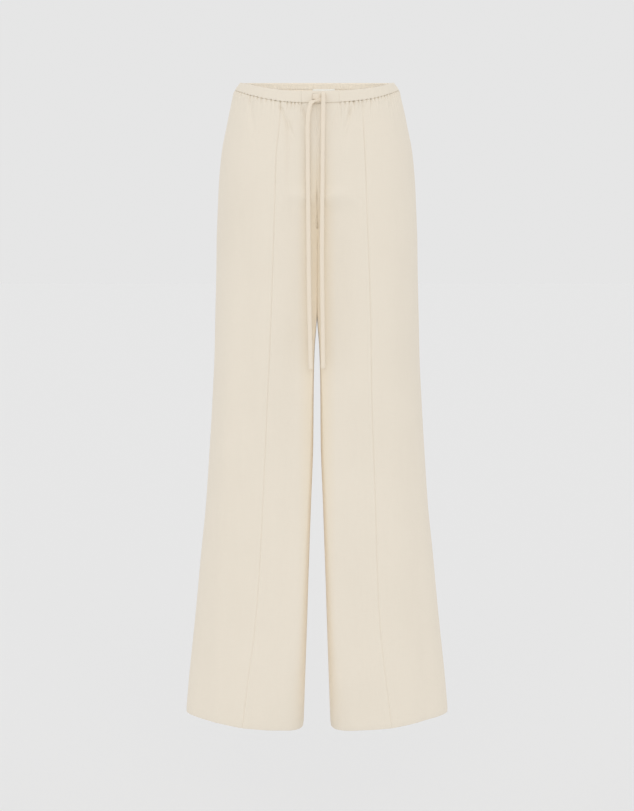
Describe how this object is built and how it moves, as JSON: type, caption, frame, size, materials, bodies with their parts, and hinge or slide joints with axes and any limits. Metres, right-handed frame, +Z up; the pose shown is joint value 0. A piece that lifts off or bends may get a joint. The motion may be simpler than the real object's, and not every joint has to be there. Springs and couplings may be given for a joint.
{
  "type": "drawstring pants",
  "caption": "Wide-leg drawstring pants with an elasticated waistband and a panel seam down the front of each leg, filled out as worn.",
  "frame": {"origin": "middle of the waist opening, where the wearer's waist holds the pants", "axes": "+Z up along the body, -Y towards the front, +X towards the right side of a front view"},
  "size_m": [0.4535, 0.2442, 1.1042],
  "materials": {
    "cloth": "soft matt crepe, pale cream",
    "cord_cloth": "turned tube of the same cream cloth",
    "label_cloth": "smooth ivory woven tape, bare"
  },
  "bodies": {
    "root": {"front_centre_left": "cloth", "front_side_left": "cloth", "back_left": "cloth", "front_centre_right": "cloth", "front_side_right": "cloth", "back_right": "cloth", "waistband_elastic": "cloth", "waistband_front": "cloth", "label": "label_cloth", "knot": "cord_cloth", "drawstring_left": "cord_cloth", "drawstring_right": "cord_cloth"}
  },
  "joints": []
}
